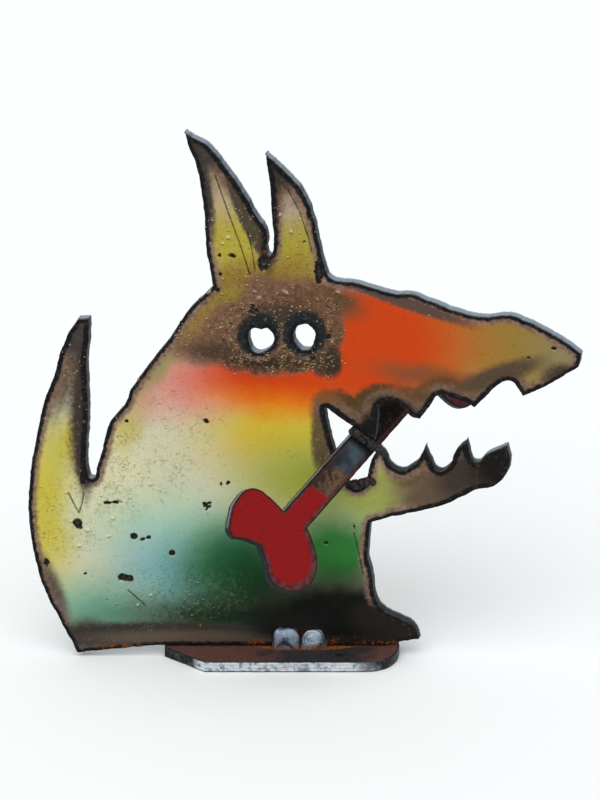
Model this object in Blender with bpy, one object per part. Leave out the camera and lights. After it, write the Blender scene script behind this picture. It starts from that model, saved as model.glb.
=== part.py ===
"""Scrap metal dog sculpture: a dog cut from steel plate, with a bone through its mouth, welded to a flat bar foot.

Metres, +Z up. The painted face looks along -Y and the nose points along +X.
The origin is the middle of the foot's underside.
"""

import math

import bmesh
import bpy
from mathutils import Matrix, Vector

# Gap between two pieces that touch
GAP = 0.0003

# Dog: its length from tail to nose sets the whole outline; the plate has its own thickness
DOG_LENGTH = 0.317
DOG_THICKNESS = 0.00635
CUT_LEAN = 0.0016

# Foot: a length of flat bar, trimmed to a blunt point at the tail end and rounded at the nose end
BASE_LENGTH = 0.138
BASE_WIDTH = 0.0508
BASE_THICKNESS = 0.00635
BASE_TRIM = 0.024
BASE_BLUNT = 0.008
BASE_ROUND = 0.020
FOOT_RUNOUT = 0.006

# Bone: a plate that crosses the mouth at a slant, turned out of the dog's plane
BONE_LENGTH = 0.196
BONE_SHAFT = 0.0178
BONE_THICKNESS = 0.005
BONE_SLOPE = math.radians(38)
BONE_TURN = math.radians(40)
BONE_CENTRE = (13.3, 38.5)
BONE_SLIDE = 0.002

# Weld lumps at the foot: middle along X, and half sizes along X, Y and Z
WELD_FRONT_LEFT = {"middle": 0.0020, "half": (0.0078, 0.0055, 0.0122)}
WELD_FRONT_RIGHT = {"middle": 0.0184, "half": (0.0072, 0.0050, 0.0114)}
WELD_BACK = {"middle": 0.0100, "half": (0.0170, 0.0046, 0.0056)}
WELD_SINK = 0.0004

# Weld bead between the first fang and the bone: its ends in hundredths of DOG_LENGTH, its radius, and how far
# it reaches from the plate's middle to the front and back
MOUTH_BEAD = ((13.0, 42.4), (16.6, 39.8))
MOUTH_BEAD_RADIUS = 0.0034
MOUTH_BEAD_DEPTH = 0.0054

# Curve steps between two landmarks, and faces round a weld lump
CURVE_STEPS = 4
WELD_SIDES = 20
WELD_RINGS = 12

CORNER = "VECTOR"

# Outline of the dog's front face, clockwise from the heel, in hundredths of DOG_LENGTH:
# across from the middle of the foot, up from its top. A third value marks a sharp corner.
RUMP_AND_TAIL = (
    (-37.9, -1.5, CORNER), (-41.2, 5.6), (-43.8, 11.6), (-45.3, 17.4), (-46.2, 25.5), (-45.8, 34.1),
    (-44.5, 41.3), (-42.8, 48.7), (-41.0, 53.3), (-39.5, 58.6), (-38.2, 61.6),
    (-36.4, 64.3, CORNER), (-34.4, 64.4, CORNER),
    (-34.4, 61.0), (-34.9, 57.5), (-34.9, 51.9), (-34.9, 44.4), (-35.4, 37.8), (-35.3, 35.2), (-34.5, 33.5),
    (-33.6, 35.8),
)
BACK = (
    (-32.4, 40.0), (-31.4, 43.8), (-30.0, 45.9), (-28.3, 47.9), (-27.4, 50.5), (-26.0, 52.6), (-22.5, 57.5),
    (-20.1, 60.7), (-18.3, 63.5), (-16.5, 66.2), (-14.4, 68.3), (-12.3, 70.4, CORNER),
)
REAR_EAR = (
    (-12.8, 73.0), (-13.5, 77.6), (-13.7, 82.3), (-14.0, 86.5), (-15.0, 92.2), (-16.6, 97.0),
    (-17.1, 99.0, CORNER), (-15.3, 98.0), (-12.9, 96.6), (-11.3, 94.7), (-8.8, 91.1), (-6.4, 87.4), (-4.2, 83.2),
    (-2.9, 81.4), (-2.4, 79.6), (-2.6, 77.1), (-2.1, 76.2, CORNER),
)
FRONT_EAR = (
    (-1.6, 77.1), (-1.5, 78.9), (-1.9, 84.1), (-2.1, 88.3), (-2.5, 91.7),
    (-2.9, 95.1, CORNER), (-0.4, 92.9), (1.8, 90.6), (3.5, 88.5), (4.6, 86.4), (6.1, 81.4), (7.2, 76.2),
    (7.9, 73.5), (8.9, 71.9), (10.1, 71.4),
)
SNOUT = (
    (12.6, 71.2), (17.4, 69.8), (20.2, 69.0), (23.2, 68.9), (25.7, 68.0), (32.4, 65.3), (35.4, 64.7),
    (41.0, 64.9), (43.6, 63.9), (49.2, 60.9), (52.2, 58.8), (53.9, 57.5, CORNER), (53.3, 54.8, CORNER),
)
UPPER_JAW = (
    (49.4, 52.3), (45.6, 50.1), (43.3, 49.2, CORNER), (42.4, 50.7), (40.9, 52.1), (39.2, 51.6), (36.6, 48.9),
    (34.7, 47.0, CORNER), (32.9, 48.1), (30.8, 48.7), (28.5, 49.6), (27.2, 48.2), (26.3, 46.6),
    (24.9, 44.8, CORNER), (23.1, 45.4), (21.3, 47.3), (19.2, 48.2), (17.7, 47.3), (17.4, 44.8),
    (16.8, 40.7, CORNER), (14.9, 41.9), (12.8, 43.3), (10.9, 44.8), (9.4, 45.8), (7.8, 47.0, CORNER),
)
MOUTH = (
    (8.4, 43.2), (9.3, 39.7), (10.7, 35.4), (12.2, 32.2), (13.5, 31.4), (14.7, 32.2), (16.1, 37.0),
    (17.6, 39.6, CORNER),
)
LOWER_JAW = (
    (18.8, 38.2), (19.7, 36.1), (21.5, 35.2), (24.2, 36.6), (25.2, 38.2), (25.9, 39.8, CORNER),
    (26.8, 37.6), (28.6, 34.9), (30.1, 35.9), (31.4, 38.9), (33.4, 41.0, CORNER),
    (34.0, 39.0), (34.9, 36.7), (37.2, 38.4), (40.7, 40.0, CORNER),
    (41.4, 37.4), (40.7, 33.9), (38.5, 31.6, CORNER),
)
CHIN = (
    (35.5, 31.0), (32.7, 29.6), (30.0, 28.2), (27.2, 27.3), (22.6, 26.3), (16.2, 24.6, CORNER),
)
CHEST_AND_PAW = (
    (15.8, 20.1), (15.9, 17.0), (16.6, 14.2), (16.9, 10.9), (17.6, 8.8), (20.0, 6.6), (21.9, 5.8),
    (24.1, 4.3), (25.0, 2.6), (25.2, 1.3, CORNER), (21.8, 0.7, CORNER), (18.6, 0.0, CORNER),
)
REAR_EYE = (
    (-6.2, 60.3), (-5.5, 62.3), (-4.6, 62.6), (-3.6, 62.1, CORNER), (-2.8, 62.5), (-1.5, 61.2), (-1.3, 59.5),
    (-2.2, 58.4), (-4.8, 57.8), (-5.8, 59.2),
)
FRONT_EYE = (
    (4.2, 63.4), (5.2, 62.9), (6.0, 60.9), (5.4, 58.7), (3.4, 58.3), (2.2, 59.6), (1.9, 60.8), (2.4, 62.4),
)

# Near end of the bone, from one side of the shaft round to the other, in hundredths of BONE_LENGTH:
# along the shaft from its middle, and across it. The far end is the same shape turned half round.
BONE_END = (
    (-32.2, 9.6), (-34.7, 16.3), (-39.9, 17.7), (-45.9, 15.7), (-50.0, 11.4), (-47.2, 7.1),
    (-45.2, 3.3, CORNER), (-46.7, -0.8), (-49.8, -6.5), (-49.0, -11.0), (-44.6, -15.6), (-38.6, -16.5),
    (-33.7, -13.3), (-31.3, -9.0),
)
BONE_NECK = (-32.0, -29.6)


def dog_point(across, up):
    """A place on the dog, from hundredths of its length, in the plate's own plane."""
    return across * DOG_LENGTH / 100, BASE_THICKNESS + GAP + up * DOG_LENGTH / 100


def dog_loops():
    """The dog's outline and its two eye holes as lists of (x, y, handle type)."""
    flat = ((-(BASE_LENGTH / 2 + FOOT_RUNOUT) * 100 / DOG_LENGTH, 0.0, CORNER),)
    outline = RUMP_AND_TAIL + BACK + REAR_EAR + FRONT_EAR + SNOUT + UPPER_JAW + MOUTH + LOWER_JAW + CHIN
    outline += CHEST_AND_PAW + flat
    return [[(*dog_point(*row[:2]), handle_of(row)) for row in loop] for loop in (outline, REAR_EYE, FRONT_EYE)]


def handle_of(row):
    """The Bezier handle type of a landmark: rounded unless it is marked as a corner."""
    return row[2] if len(row) == 3 else "AUTO"


def bone_loop():
    """The bone's outline: its near end, then the same end turned half round."""
    share = BONE_LENGTH / 100
    end = [(BONE_NECK[0] * share, BONE_SHAFT / 2, CORNER)]
    end += [(row[0] * share, row[1] * share, handle_of(row)) for row in BONE_END]
    end += [(BONE_NECK[1] * share, -BONE_SHAFT / 2, CORNER)]
    return end + [(-x, -y, handle) for x, y, handle in end]


def base_loop():
    """The foot's outline: a blunt point at the tail end and a round end under the nose."""
    half = BASE_LENGTH / 2
    side = BASE_WIDTH / 2
    trimmed = [(-half + BASE_TRIM, side, CORNER), (-half, BASE_BLUNT / 2, CORNER)]
    turned = [angle * math.pi / 16 for angle in range(9)]
    rounded = [(half - BASE_ROUND * (1 - math.sin(t)), -side * math.cos(t), CORNER) for t in turned]
    lower = [(x, -y, kind) for x, y, kind in reversed(trimmed)]
    upper = [(x, -y, kind) for x, y, kind in reversed(rounded[:-1])]
    return trimmed + lower + rounded + upper


def collection_named(name):
    """A new collection in the scene."""
    collection = bpy.data.collections.new(name)
    bpy.context.scene.collection.children.link(collection)
    return collection


def paint(name, colour, roughness, metallic):
    """A plain material for one piece."""
    material = bpy.data.materials.new(name)
    material.use_nodes = True
    shader = material.node_tree.nodes["Principled BSDF"]
    shader.inputs["Base Color"].default_value = (*colour, 1)
    shader.inputs["Roughness"].default_value = roughness
    shader.inputs["Metallic"].default_value = metallic
    return material


def plate(name, loops, thickness, placement, collection, grow=0.0):
    """A flat plate cut to closed outlines, as a mesh object placed by a matrix."""
    curve = bpy.data.curves.new(name + "_outline", "CURVE")
    curve.dimensions = "2D"
    curve.fill_mode = "BOTH"
    curve.extrude = thickness / 2 + grow
    curve.offset = grow
    curve.resolution_u = CURVE_STEPS
    for loop in loops:
        spline = curve.splines.new("BEZIER")
        spline.bezier_points.add(len(loop) - 1)
        for point, (x, y, handle) in zip(spline.bezier_points, loop):
            point.handle_left_type = handle
            point.handle_right_type = handle
            point.co = (x, y, 0)
        spline.use_cyclic_u = True
    flat = bpy.data.objects.new(name + "_outline", curve)
    collection.objects.link(flat)
    bpy.context.view_layer.update()
    mesh = bpy.data.meshes.new_from_object(flat.evaluated_get(bpy.context.evaluated_depsgraph_get()))
    bpy.data.objects.remove(flat)
    merge_doubles(mesh)
    mesh.name = name
    piece = bpy.data.objects.new(name, mesh)
    piece.matrix_world = placement
    collection.objects.link(piece)
    return piece


def merge_doubles(mesh):
    """Joins a curve's loose caps to its sides."""
    work = bmesh.new()
    work.from_mesh(mesh)
    bmesh.ops.remove_doubles(work, verts=work.verts, dist=0.00001)
    work.to_mesh(mesh)
    work.free()


def lean_cut(piece, thickness):
    """Slants the cut edges: the outline of the back face sits a little nearer the nose than the front's."""
    for vertex in piece.data.vertices:
        vertex.co.x += CUT_LEAN * (0.5 - vertex.co.z / thickness)


def upright():
    """Stands a plate drawn in XY upright, with its upper face towards -Y."""
    return Matrix.Rotation(math.pi / 2, 4, "X")


def bone_placement():
    """The bone crosses the mouth, its far end turned up and behind the snout and pushed through a little."""
    across, up = dog_point(*BONE_CENTRE)
    turned = Matrix.Rotation(-BONE_SLOPE, 4, "Y") @ Matrix.Rotation(BONE_TURN, 4, "Z")
    return Matrix.Translation((across, 0, up)) @ turned @ upright() @ Matrix.Translation((BONE_SLIDE, 0, 0))


def cut(piece, cutter):
    """Takes a cutter away from a piece."""
    modifier = piece.modifiers.new(cutter.name, "BOOLEAN")
    modifier.operation = "DIFFERENCE"
    modifier.solver = "EXACT"
    modifier.object = cutter


def as_cutter(cutter):
    """Marks a cutter so that it shows as a wire and never renders."""
    cutter.display_type = "WIRE"
    cutter.hide_render = True
    return cutter


def bone_passage(collection):
    """The space that the bone's shaft needs where it crosses the dog's plate."""
    work = bmesh.new()
    bmesh.ops.create_cube(work, size=1)
    size = (BONE_LENGTH / 2, BONE_SHAFT + 2 * GAP, BONE_THICKNESS + 2 * GAP)
    bmesh.ops.scale(work, vec=size, verts=work.verts)
    mesh = bpy.data.meshes.new("bone_passage")
    work.to_mesh(mesh)
    work.free()
    passage = bpy.data.objects.new("bone_passage", mesh)
    passage.matrix_world = bone_placement()
    collection.objects.link(passage)
    return as_cutter(passage)


def ellipsoid(middle, half, turn=0.0):
    """A round lump with its half sizes along X, Y and Z, turned about Y by an angle."""
    work = bmesh.new()
    bmesh.ops.create_uvsphere(work, u_segments=WELD_SIDES, v_segments=WELD_RINGS, radius=1)
    place = Matrix.Translation(middle) @ Matrix.Rotation(turn, 4, "Y") @ Matrix.Diagonal((*half, 1))
    bmesh.ops.transform(work, matrix=place, verts=work.verts)
    return work


def trim(work, point, normal):
    """Cuts a lump flat and keeps the side that the normal points to."""
    geometry = work.verts[:] + work.edges[:] + work.faces[:]
    bmesh.ops.bisect_plane(work, geom=geometry, plane_co=point, plane_no=normal, clear_inner=True)
    bmesh.ops.holes_fill(work, edges=[edge for edge in work.edges if edge.is_boundary])


def lump_object(name, work, collection):
    """Makes a finished lump an object."""
    bmesh.ops.recalc_face_normals(work, faces=work.faces)
    mesh = bpy.data.meshes.new(name)
    work.to_mesh(mesh)
    work.free()
    mesh.shade_smooth()
    mesh.set_sharp_from_angle(angle=math.radians(40))
    piece = bpy.data.objects.new(name, mesh)
    collection.objects.link(piece)
    return piece


def foot_weld(name, weld, side, collection):
    """A weld lump in the corner between the dog's face and the foot's top, in front or behind."""
    wall = side * (DOG_THICKNESS / 2 + GAP)
    floor = BASE_THICKNESS + GAP
    work = ellipsoid((weld["middle"], wall - side * WELD_SINK, floor - WELD_SINK), weld["half"])
    trim(work, (0, wall, 0), (0, side, 0))
    trim(work, (0, 0, floor), (0, 0, 1))
    return lump_object(name, work, collection)


def mouth_weld(name, collection):
    """A bead that fills the corner between the first fang and the bone."""
    start = Vector(dog_point(*MOUTH_BEAD[0]))
    end = Vector(dog_point(*MOUTH_BEAD[1]))
    middle = (start + end) / 2
    run = end - start
    half = (run.length / 2 + MOUTH_BEAD_RADIUS, MOUTH_BEAD_DEPTH, MOUTH_BEAD_RADIUS)
    turn = math.atan2(-run.y, run.x)
    work = ellipsoid((middle.x, 0, middle.y), half, turn)
    return lump_object(name, work, collection)


def build():
    for old in list(bpy.data.objects):
        bpy.data.objects.remove(old)
    parts = collection_named("scrap_metal_dog")
    cutters = collection_named("cutters")

    dog = plate("dog_plate", dog_loops(), DOG_THICKNESS, upright(), parts)
    lean_cut(dog, DOG_THICKNESS)
    dog.data.materials.append(paint("dog_paint", (0.50, 0.44, 0.16), 0.5, 0.2))

    bone = plate("bone", [bone_loop()], BONE_THICKNESS, bone_placement(), parts)
    bone.data.materials.append(paint("bone_paint", (0.42, 0.02, 0.02), 0.35, 0.1))
    passage = bone_passage(cutters)
    cut(dog, passage)

    ground = Matrix.Translation((0, 0, BASE_THICKNESS / 2))
    base = plate("base_plate", [base_loop()], BASE_THICKNESS, ground, parts)
    base.data.materials.append(paint("base_steel", (0.11, 0.06, 0.06), 0.5, 0.7))

    weld_metal = paint("weld_metal", (0.32, 0.34, 0.38), 0.4, 0.9)
    welds = [
        foot_weld("weld_front_left", WELD_FRONT_LEFT, -1, parts),
        foot_weld("weld_front_right", WELD_FRONT_RIGHT, -1, parts),
        foot_weld("weld_back", WELD_BACK, 1, parts),
        mouth_weld("weld_mouth", parts),
    ]
    around_dog = plate("around_dog", dog_loops(), DOG_THICKNESS, upright(), cutters, grow=GAP)
    lean_cut(around_dog, DOG_THICKNESS)
    cut(welds[3], as_cutter(around_dog))
    cut(welds[3], passage)
    for weld in welds:
        weld.data.materials.append(weld_metal.copy())


build()
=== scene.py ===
# %% [markdown]
# # A dog cut from scrap steel
#
# The real piece is a flat dog, torch-cut from quarter-inch steel plate and sprayed with soft fades of
# colour. A second plate, cut as a bone, goes through its mouth, and a short flat bar welded under it is its
# foot.
#
# The solids already have the true outlines, so nothing here changes a size. What they lack is what the
# torch, the welder and the weather did: ragged burnt edges, drag lines, pits, crumbs of spatter, scale and
# rust.

# %% Load the solids
import math

import bmesh
import bpy
import numpy as np
from mathutils import Color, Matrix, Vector, noise
from mathutils.geometry import delaunay_2d_cdt
from mathutils.kdtree import KDTree


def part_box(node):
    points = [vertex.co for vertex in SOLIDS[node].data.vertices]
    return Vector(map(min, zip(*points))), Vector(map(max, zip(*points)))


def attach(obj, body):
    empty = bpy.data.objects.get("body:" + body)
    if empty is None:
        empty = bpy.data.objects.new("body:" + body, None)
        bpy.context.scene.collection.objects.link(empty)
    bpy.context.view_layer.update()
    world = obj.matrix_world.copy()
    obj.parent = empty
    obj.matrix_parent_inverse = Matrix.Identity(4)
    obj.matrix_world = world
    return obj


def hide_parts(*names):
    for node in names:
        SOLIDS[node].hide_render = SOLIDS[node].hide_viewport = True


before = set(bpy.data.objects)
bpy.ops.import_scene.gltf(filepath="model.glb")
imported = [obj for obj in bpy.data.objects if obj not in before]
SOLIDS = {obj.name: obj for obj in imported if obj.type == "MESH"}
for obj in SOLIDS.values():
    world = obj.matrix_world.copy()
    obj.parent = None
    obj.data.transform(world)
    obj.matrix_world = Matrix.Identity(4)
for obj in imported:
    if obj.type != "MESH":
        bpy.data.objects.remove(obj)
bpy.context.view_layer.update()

MM = 0.001
TO_MM = 1000

# %% [markdown]
# ## The view
#
# The photograph looks down on the dog at 21 degrees through a long lens, so its lines hardly converge. The
# camera is aimed at the middle of the picture, a little up the dog's body.

# %% Camera
AIM = Vector((10.44, 0, 159.58)) * MM
LOOK_DOWN = math.radians(21)
DISTANCE = 2.2
LENS = 173.25


def placed(name, data):
    """A new object in the scene for some data."""
    made = bpy.data.objects.new(name, data)
    bpy.context.collection.objects.link(made)
    return made


camera_data = bpy.data.cameras.new("photo_view")
camera_data.lens = LENS
camera = placed("photo_view", camera_data)
camera.location = AIM + Vector((0, -math.cos(LOOK_DOWN), math.sin(LOOK_DOWN))) * DISTANCE
camera.rotation_euler = (math.pi / 2 - LOOK_DOWN, 0, 0)
bpy.context.scene.camera = camera
bpy.context.scene.view_settings.view_transform = "Standard"
print("camera at", tuple(camera.location))

# %% [markdown]
# ## Floor and light
#
# Steel shows what surrounds it, so the room is a plain pale one: a white floor, a white sky, and one broad
# lamp, high up in front and to the left, which lights the upper edges of the cut; painted light on the
# walls adds to their bright line.

# %% Colours by their screen values
def colour(code):
    """The linear colour of a six-figure screen colour, with alpha."""
    shown = Color([int(code[i:i + 2], 16) / 255 for i in (0, 2, 4)])
    return (*shown.from_srgb_to_scene_linear(), 1)


# %% Floor
FLOOR_HALF = 6.0

bpy.ops.mesh.primitive_plane_add(size=2 * FLOOR_HALF, location=(0, 0, -0.0001))
floor = bpy.context.object
floor.name = "floor"
floor_paint = bpy.data.materials.new("pale_floor")
floor_paint.use_nodes = True
floor_shader = floor_paint.node_tree.nodes["Principled BSDF"]
floor_shader.inputs["Base Color"].default_value = colour("f6f8f7")
floor_shader.inputs["Roughness"].default_value = 0.8
floor.data.materials.append(floor_paint)

# %% Sky and lamp
SKY_STRENGTH = 0.72
LAMP_STRENGTH = 1.6
LAMP_WIDTH = math.radians(60)
LAMP_FROM = Vector((-0.16, -0.52, 0.82))

sky = bpy.data.worlds.new("pale_room")
sky.use_nodes = True
sky.node_tree.nodes["Background"].inputs["Color"].default_value = colour("f4f7fa")
sky.node_tree.nodes["Background"].inputs["Strength"].default_value = SKY_STRENGTH
bpy.context.scene.world = sky

lamp_data = bpy.data.lights.new("soft_lamp", "SUN")
lamp_data.energy = LAMP_STRENGTH
lamp_data.angle = LAMP_WIDTH
lamp = placed("soft_lamp", lamp_data)
lamp.rotation_euler = LAMP_FROM.to_track_quat("Z", "Y").to_euler()
print("the lamp stands", round(math.degrees(math.asin(LAMP_FROM.normalized().z))), "degrees up")

# %% [markdown]
# ## Finding the cut line
#
# Each plate is an outline pushed straight back. To make its surface again with a finer mesh, the outline is
# read off the solid: it is the rim of all the triangles that look the same way as the painted face. The rim
# is kept as flat points in millimetres, with the steel always on the left hand as it is walked.

# %% Rims of a flat face
SAME_WAY = 0.99
MERGE = 1e-6


def merged(node):
    """A copy of a solid's mesh with its loose triangles joined up."""
    solid = bmesh.new()
    solid.from_mesh(SOLIDS[node].data)
    bmesh.ops.remove_doubles(solid, verts=solid.verts, dist=MERGE)
    solid.normal_update()
    return solid


def rims(solid, right, up):
    """The closed rims of the face that looks along right x up, in mm, and how far out it lies."""
    facing = right.cross(up)
    faces = [face for face in solid.faces if face.normal.dot(facing) > SAME_WAY]
    chosen = {face.index for face in faces}
    after = {}
    for face in faces:
        for corner in face.loops:
            if all(other is face or other.index not in chosen for other in corner.edge.link_faces):
                after[corner.vert.index] = corner.link_loop_next.vert.index
    solid.verts.ensure_lookup_table()
    height = solid.verts[min(after)].co.dot(facing) / MM
    found = []
    while after:
        loop = [min(after)]
        while after[loop[-1]] != loop[0]:
            loop.append(after[loop[-1]])
        for index in loop:
            del after[index]
        corners = [solid.verts[index].co for index in loop]
        found.append(np.array([(co.dot(right), co.dot(up)) for co in corners]) / MM)
    return found, height


# %% [markdown]
# ## Walking the rim as the torch did
#
# A hand-held torch doesn't leave a drawn line. The rim is walked again in short even steps, keeping its
# sharp corners, and each step is moved a little into the steel: slowly, as the hand wandered, and quickly,
# as the flame flickered. The outside only moves inwards, so the piece never grows, but slag narrows the
# holes.

# %% Even steps round a rim
SHARP = math.radians(35)
SMOOTHING = 3


def even_steps(loop, step):
    """Points at even steps round a closed loop, smoothed between its sharp corners."""
    ahead = np.roll(loop, -1, 0) - loop
    behind = np.roll(ahead, 1, 0)
    turn = np.arctan2(behind[:, 0] * ahead[:, 1] - behind[:, 1] * ahead[:, 0], (behind * ahead).sum(1))
    corners = np.flatnonzero(np.abs(turn) > SHARP)
    if len(corners) == 0:
        corners = np.array([0])
    closed = np.vstack([np.roll(loop, -corners[0], 0), loop[corners[0]]])
    stops = [*(corners - corners[0]), len(loop)]
    made, fixed = [], []
    for first, last in zip(stops, stops[1:]):
        stretch = closed[first:last + 1]
        run = np.concatenate([[0], np.cumsum(np.linalg.norm(np.diff(stretch, axis=0), axis=1))])
        at = np.arange(max(1, round(run[-1] / step))) * run[-1] / max(1, round(run[-1] / step))
        made.append(np.column_stack([np.interp(at, run, stretch[:, axis]) for axis in (0, 1)]))
        fixed += [True] + [False] * (len(at) - 1)
    points, fixed = np.vstack(made), np.array(fixed)[:, None]
    for _ in range(SMOOTHING):
        blurred = (np.roll(points, 1, 0) + 2 * points + np.roll(points, -1, 0)) / 4
        points = np.where(fixed, points, blurred)
    return points


def inward(loop):
    """Unit steps into the steel at each point of a rim."""
    run = np.roll(loop, -1, 0) - np.roll(loop, 1, 0)
    return np.column_stack([-run[:, 1], run[:, 0]]) / np.linalg.norm(run, axis=1)[:, None]


# %% Noise at many points
def ripple(points, size, seed, depth=0.0):
    """Smooth noise from -1 to 1 with lumps of a size in mm, at flat points."""
    return np.array([noise.noise(Vector((x / size, y / size, seed + depth))) for x, y in points])


# %% [markdown]
# ## Filling the face
#
# A face needs points in three kinds of place: close rows just inside the rim, where the metal is rounded
# and burnt, an even field over the rest, and extra ones round each pit and scratch. Delaunay triangulation
# then joins whatever points it is given, and keeps to the rims, which no grid of squares would do.

# %% Nearness, in mm
def search_tree(points):
    """A tree that finds the nearest of some flat points."""
    tree = KDTree(len(points))
    for index, (x, y) in enumerate(points):
        tree.insert((x, y, 0), index)
    tree.balance()
    return tree


def from_lines(points, starts, ends):
    """The distance of each point from its own straight line, or of all points from one line."""
    run = ends - starts
    share = ((points - starts) * run).sum(-1) / np.maximum((run * run).sum(-1), MERGE)
    foot = starts + run * np.clip(share, 0, 1)[:, None]
    return np.linalg.norm(points - foot, axis=1)


def neighbours(loops):
    """Pairs of points next to each other round the rims, numbered on from one rim to the next."""
    pairs = []
    for loop in loops:
        first = len(pairs)
        pairs += [(first + i, first + (i + 1) % len(loop)) for i in range(len(loop))]
    return pairs


def rim_distance(points, loops):
    """The distance of each flat point from the nearest rim."""
    starts = np.vstack(loops)
    after = np.array(neighbours(loops))[:, 1]
    before = np.argsort(after)
    tree = search_tree(starts)
    near = np.array([tree.find((x, y, 0))[1] for x, y in points])
    sides = (near, before[near])
    return np.minimum(*[from_lines(points, starts[side], starts[after[side]]) for side in sides])


# %% Points and triangles of a face
# Rows inside the rim, in mm, and how much of its distance each point of a row must keep from all rims
ROWS = (0.5, 1.25, 2.1)
ROW_KEPT = 0.93
# The rows are thinned out to a grid of this size, in mm
THIN_TO = 0.42
# How far the even field keeps from the rows and from the points round marks, in steps
FIELD_CLEAR = 0.45
CLOSE_EXTRA = 0.6
# The kind of triangulation that keeps to the edges it is given
WITHIN_EDGES = 1


def field(loops, step):
    """An even field of points in equal triangles over the box of some rims."""
    corners = np.vstack(loops)
    low, high = corners.min(0), corners.max(0)
    across = np.arange(low[0], high[0], step)
    up = np.arange(low[1], high[1], step * math.sqrt(0.75))
    grid = np.array([(x + step / 2 * (row % 2), y) for row, y in enumerate(up) for x in across])
    return grid[rim_distance(grid, loops) > ROWS[-1] + step * FIELD_CLEAR]


def is_hole(loop):
    """Whether a rim is walked clockwise, as the rims of holes are."""
    ends = np.roll(loop, -1, 0)
    return (loop[:, 0] * ends[:, 1] - ends[:, 0] * loop[:, 1]).sum() < 0


def in_holes(points, loops):
    """Which points lie in a hole."""
    inside = np.zeros(len(points), bool)
    for loop in loops:
        ends = np.roll(loop, -1, 0)
        if is_hole(loop):
            for (x, y), (next_x, next_y) in zip(loop, ends):
                spans = (y > points[:, 1]) != (next_y > points[:, 1])
                crossing = x + (points[:, 1] - y) * (next_x - x) / (next_y - y or 1)
                inside ^= spans & (points[:, 0] < crossing)
    return inside


def face_mesh(loops, step, extra):
    """Points and triangles of the face inside some rims. Its first points are the rims' own, in order."""
    rows = []
    for offset in ROWS:
        for loop in loops:
            row = loop + inward(loop) * offset
            rows.append(row[rim_distance(row, loops) > offset * ROW_KEPT])
    inner = np.vstack(rows)
    inner = inner[np.sort(np.unique(np.round(inner / THIN_TO), axis=0, return_index=True)[1])]
    even = field(loops, step)
    if len(extra):
        near = search_tree(extra)
        even = even[[near.find((x, y, 0))[2] > step * CLOSE_EXTRA for x, y in even]]
        inner = np.vstack([inner, extra])
    points = np.vstack([*loops, inner, even])
    edges = neighbours(loops)
    made = delaunay_2d_cdt([Vector(p) for p in points], edges, [], WITHIN_EDGES, MERGE)
    came_from, triangles = made[3], np.array(made[2])
    flat = np.array([tuple(p) for p in made[0]])
    triangles = triangles[~in_holes(flat[triangles].mean(1), loops)]
    used = np.unique(triangles)
    order = np.full(len(flat), -1)
    order[used] = np.arange(len(used))
    rim_index = {source: order[index] for index in used for source in came_from[index]
                 if source < len(edges)}
    return flat[used], order[triangles], [rim_index[i] for i in range(len(edges))]


# %% [markdown]
# ## Building a plate
#
# The wall joins the two faces with eight bands. Its outer bands are rounded over, as molten steel leaves
# them, and between them small ripples run from front to back: the drag lines of the cut. Along with the
# shape, the mesh carries numbers for the paint to read: `edge`, the distance in from the cut, `depth`, from
# 0 at the front to 1 at the back, and the distances to the nearest scar and scratch.

# %% Bites, marks and meshes
BANDS = (0.02, 0.07, 0.2, 0.36, 0.52, 0.68, 0.83, 0.93, 0.98)
ROUNDING = {0.02: 0.30, 0.07: 0.06, 0.93: 0.06, 0.98: 0.30}
DRAG_SIZE = 1.5
DRAG = 0.10
FAR = 9.0
# How deep the torch bit: always, as the hand drifted and as the flame flickered. The sizes are in mm
EVEN_BITE = 0.35
DRIFT, DRIFT_SIZE = 0.6, 6
FLICKER, FLICKER_SIZE = 0.3, 2.1
# In a hole slag grows instead, as this share of a bite
SLAG = -1.6


def bites(loop, most, seed):
    """How deep the torch bit at each point of a rim, in mm. Into a hole it is slag that grows."""
    uneven = (EVEN_BITE + DRIFT * ripple(loop, DRIFT_SIZE, seed)
              + FLICKER * ripple(loop, FLICKER_SIZE, seed + 5)).clip(0)
    return uneven * most * (SLAG if is_hole(loop) else 1)


def unmarked(count, share):
    """What the paint reads at some points, where nothing has marked them yet."""
    return {"edge": np.zeros(count), "depth": np.full(count, share), "scar": np.full(count, FAR),
            "scratch": np.full(count, FAR), "spatter": np.zeros(count), "flake": np.zeros(count)}


def mesh_of(name, places, axes, faces, carried):
    """A smooth mesh from places in mm along three axes. Its points carry numbers for the paint."""
    mesh = bpy.data.meshes.new(name)
    mesh.from_pydata((np.vstack(places) * MM @ np.array(axes)).tolist(), [], faces)
    for key in carried[0]:
        values = np.concatenate([numbers[key] for numbers in carried]).astype(np.float32)
        mesh.attributes.new(key, "FLOAT", "POINT").data.foreach_set("value", values)
    mesh.shade_smooth()
    return mesh


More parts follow.
